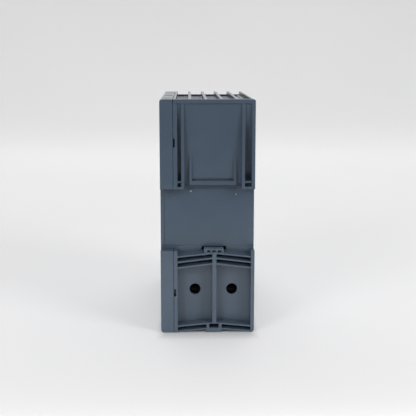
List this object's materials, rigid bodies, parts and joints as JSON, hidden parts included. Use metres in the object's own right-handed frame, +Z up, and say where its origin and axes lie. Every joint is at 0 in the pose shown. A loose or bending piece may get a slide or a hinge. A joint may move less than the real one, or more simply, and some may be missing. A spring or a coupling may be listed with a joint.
{
  "type": "DIN rail power supply",
  "caption": "Slim boxed power supply that hangs on a 35 mm rail by a hooked recess and a sprung pull latch; ribbed open top, screw terminals, status light and trimmer in front.",
  "frame": {"origin": "middle of the base, on the surface that the unit stands on", "axes": "+Z up, front panel towards -Y, rail side towards +Y, side cover towards +X"},
  "size_m": [0.05, 0.12, 0.125],
  "materials": {
    "housing_plastic": "fine moulded grain, dark blue grey",
    "panel_plastic": "satin light grey",
    "label_film": "satin printed film",
    "mark_ink": "white print",
    "terminal_plastic": "black glass-filled plastic",
    "tinned_brass": "tin plated",
    "zinc_steel": "zinc plated",
    "board_laminate": "green solder mask",
    "insulation_film": "pressboard",
    "clear_plastic": "clear polished plastic",
    "led_green": "tinted clear epoxy",
    "trimmer_blue": "moulded blue",
    "spindle_plastic": "white plastic",
    "fuse_ceramic": "glazed tube with metal caps",
    "film_cap_yellow": "moulded case",
    "disc_coating": "dipped epoxy",
    "disc_blue": "dipped epoxy",
    "epoxy_black": "moulded epoxy",
    "can_sleeve": "printed sleeve over aluminium can",
    "ferrite": "sintered ferrite",
    "powder_core": "coated powder core",
    "copper_wire": "enamelled copper",
    "heatsink_metal": "plain rolled",
    "tape_yellow": "polyester tape"
  },
  "bodies": {
    "housing": {"housing_shell": "housing_plastic", "side_cover": "housing_plastic", "top_grille": "housing_plastic", "front_panel": "panel_plastic", "rating_label": "label_film", "terminal_marks": "mark_ink", "upper_leaves_left": "housing_plastic", "upper_leaves_right": "housing_plastic", "lower_leaves_left": "housing_plastic", "lower_leaves_right": "housing_plastic", "output_terminal_block": "terminal_plastic", "input_terminal_block": "terminal_plastic", "output_contact_bars": "tinned_brass", "input_contact_bars": "tinned_brass", "output_board": "board_laminate", "input_board": "board_laminate", "main_board": "board_laminate", "insulation_sheet": "insulation_film", "board_headers": "terminal_plastic", "light_pipe": "clear_plastic", "status_led": "led_green", "trimmer_body": "trimmer_blue", "fuse": "fuse_ceramic", "x_capacitors": "film_cap_yellow", "surge_discs": "disc_coating", "bridge_rectifier": "epoxy_black", "bulk_capacitors": "can_sleeve", "line_choke_core": "ferrite", "line_choke_winding": "copper_wire", "primary_heatsink": "heatsink_metal", "primary_switches": "epoxy_black", "secondary_heatsink": "heatsink_metal", "output_rectifiers": "epoxy_black", "transformer_core": "ferrite", "transformer_bobbin": "terminal_plastic", "transformer_winding": "tape_yellow", "output_choke_core": "powder_core", "output_choke_winding": "copper_wire", "output_capacitors": "can_sleeve", "control_chips": "epoxy_black", "safety_capacitors": "disc_blue", "cover_screws": "zinc_steel", "board_screws": "zinc_steel"},
    "latch": {"rail_latch": "housing_plastic"},
    "trimmer": {"trimmer_spindle": "spindle_plastic"},
    "output_screw_1": {"output_screw_1": "zinc_steel"},
    "output_cage_1": {"output_cage_1": "zinc_steel"},
    "output_screw_2": {"output_screw_2": "zinc_steel"},
    "output_cage_2": {"output_cage_2": "zinc_steel"},
    "output_screw_3": {"output_screw_3": "zinc_steel"},
    "output_cage_3": {"output_cage_3": "zinc_steel"},
    "output_screw_4": {"output_screw_4": "zinc_steel"},
    "output_cage_4": {"output_cage_4": "zinc_steel"},
    "input_screw_1": {"input_screw_1": "zinc_steel"},
    "input_cage_1": {"input_cage_1": "zinc_steel"},
    "input_screw_2": {"input_screw_2": "zinc_steel"},
    "input_cage_2": {"input_cage_2": "zinc_steel"},
    "input_screw_3": {"input_screw_3": "zinc_steel"},
    "input_cage_3": {"input_cage_3": "zinc_steel"}
  },
  "joints": [
    {"name": "latch_slide", "type": "slide", "parent": "housing", "child": "latch", "axis": [0, 0, -1], "range_m": [0, 0.0025], "stiffness_N_per_m": 4000, "deforming": ["upper_leaves_left", "upper_leaves_right", "lower_leaves_left", "lower_leaves_right"]},
    {"name": "trimmer_turn", "type": "hinge", "parent": "housing", "child": "trimmer", "pos_m": [-0.0033, -0.052, 0.096], "axis": [0, -1, 0], "range_deg": [-135, 135]},
    {"name": "output_screw_1_turn", "type": "hinge", "parent": "housing", "child": "output_screw_1", "pos_m": [0.0133, -0.052, 0.1115], "axis": [0, 1, 0], "range_deg": [0, 1802]},
    {"name": "output_cage_1_rise", "type": "slide", "parent": "housing", "child": "output_cage_1", "axis": [0, -1, 0], "range_m": [0, 0.0025]},
    {"name": "output_screw_2_turn", "type": "hinge", "parent": "housing", "child": "output_screw_2", "pos_m": [0.005, -0.052, 0.1115], "axis": [0, 1, 0], "range_deg": [0, 1802]},
    {"name": "output_cage_2_rise", "type": "slide", "parent": "housing", "child": "output_cage_2", "axis": [0, -1, 0], "range_m": [0, 0.0025]},
    {"name": "output_screw_3_turn", "type": "hinge", "parent": "housing", "child": "output_screw_3", "pos_m": [-0.0033, -0.052, 0.1115], "axis": [0, 1, 0], "range_deg": [0, 1802]},
    {"name": "output_cage_3_rise", "type": "slide", "parent": "housing", "child": "output_cage_3", "axis": [0, -1, 0], "range_m": [0, 0.0025]},
    {"name": "output_screw_4_turn", "type": "hinge", "parent": "housing", "child": "output_screw_4", "pos_m": [-0.0116, -0.052, 0.1115], "axis": [0, 1, 0], "range_deg": [0, 1802]},
    {"name": "output_cage_4_rise", "type": "slide", "parent": "housing", "child": "output_cage_4", "axis": [0, -1, 0], "range_m": [0, 0.0025]},
    {"name": "input_screw_1_turn", "type": "hinge", "parent": "housing", "child": "input_screw_1", "pos_m": [0.005, -0.052, 0.011], "axis": [0, 1, 0], "range_deg": [0, 1802]},
    {"name": "input_cage_1_rise", "type": "slide", "parent": "housing", "child": "input_cage_1", "axis": [0, -1, 0], "range_m": [0, 0.0025]},
    {"name": "input_screw_2_turn", "type": "hinge", "parent": "housing", "child": "input_screw_2", "pos_m": [-0.0033, -0.052, 0.011], "axis": [0, 1, 0], "range_deg": [0, 1802]},
    {"name": "input_cage_2_rise", "type": "slide", "parent": "housing", "child": "input_cage_2", "axis": [0, -1, 0], "range_m": [0, 0.0025]},
    {"name": "input_screw_3_turn", "type": "hinge", "parent": "housing", "child": "input_screw_3", "pos_m": [-0.0116, -0.052, 0.011], "axis": [0, 1, 0], "range_deg": [0, 1802]},
    {"name": "input_cage_3_rise", "type": "slide", "parent": "housing", "child": "input_cage_3", "axis": [0, -1, 0], "range_m": [0, 0.0025]}
  ],
  "couplings": [
    {"joint": "output_screw_1_turn", "follows": "output_cage_1_rise", "rad_per_m": 12566},
    {"joint": "output_screw_2_turn", "follows": "output_cage_2_rise", "rad_per_m": 12566},
    {"joint": "output_screw_3_turn", "follows": "output_cage_3_rise", "rad_per_m": 12566},
    {"joint": "output_screw_4_turn", "follows": "output_cage_4_rise", "rad_per_m": 12566},
    {"joint": "input_screw_1_turn", "follows": "input_cage_1_rise", "rad_per_m": 12566},
    {"joint": "input_screw_2_turn", "follows": "input_cage_2_rise", "rad_per_m": 12566},
    {"joint": "input_screw_3_turn", "follows": "input_cage_3_rise", "rad_per_m": 12566}
  ]
}
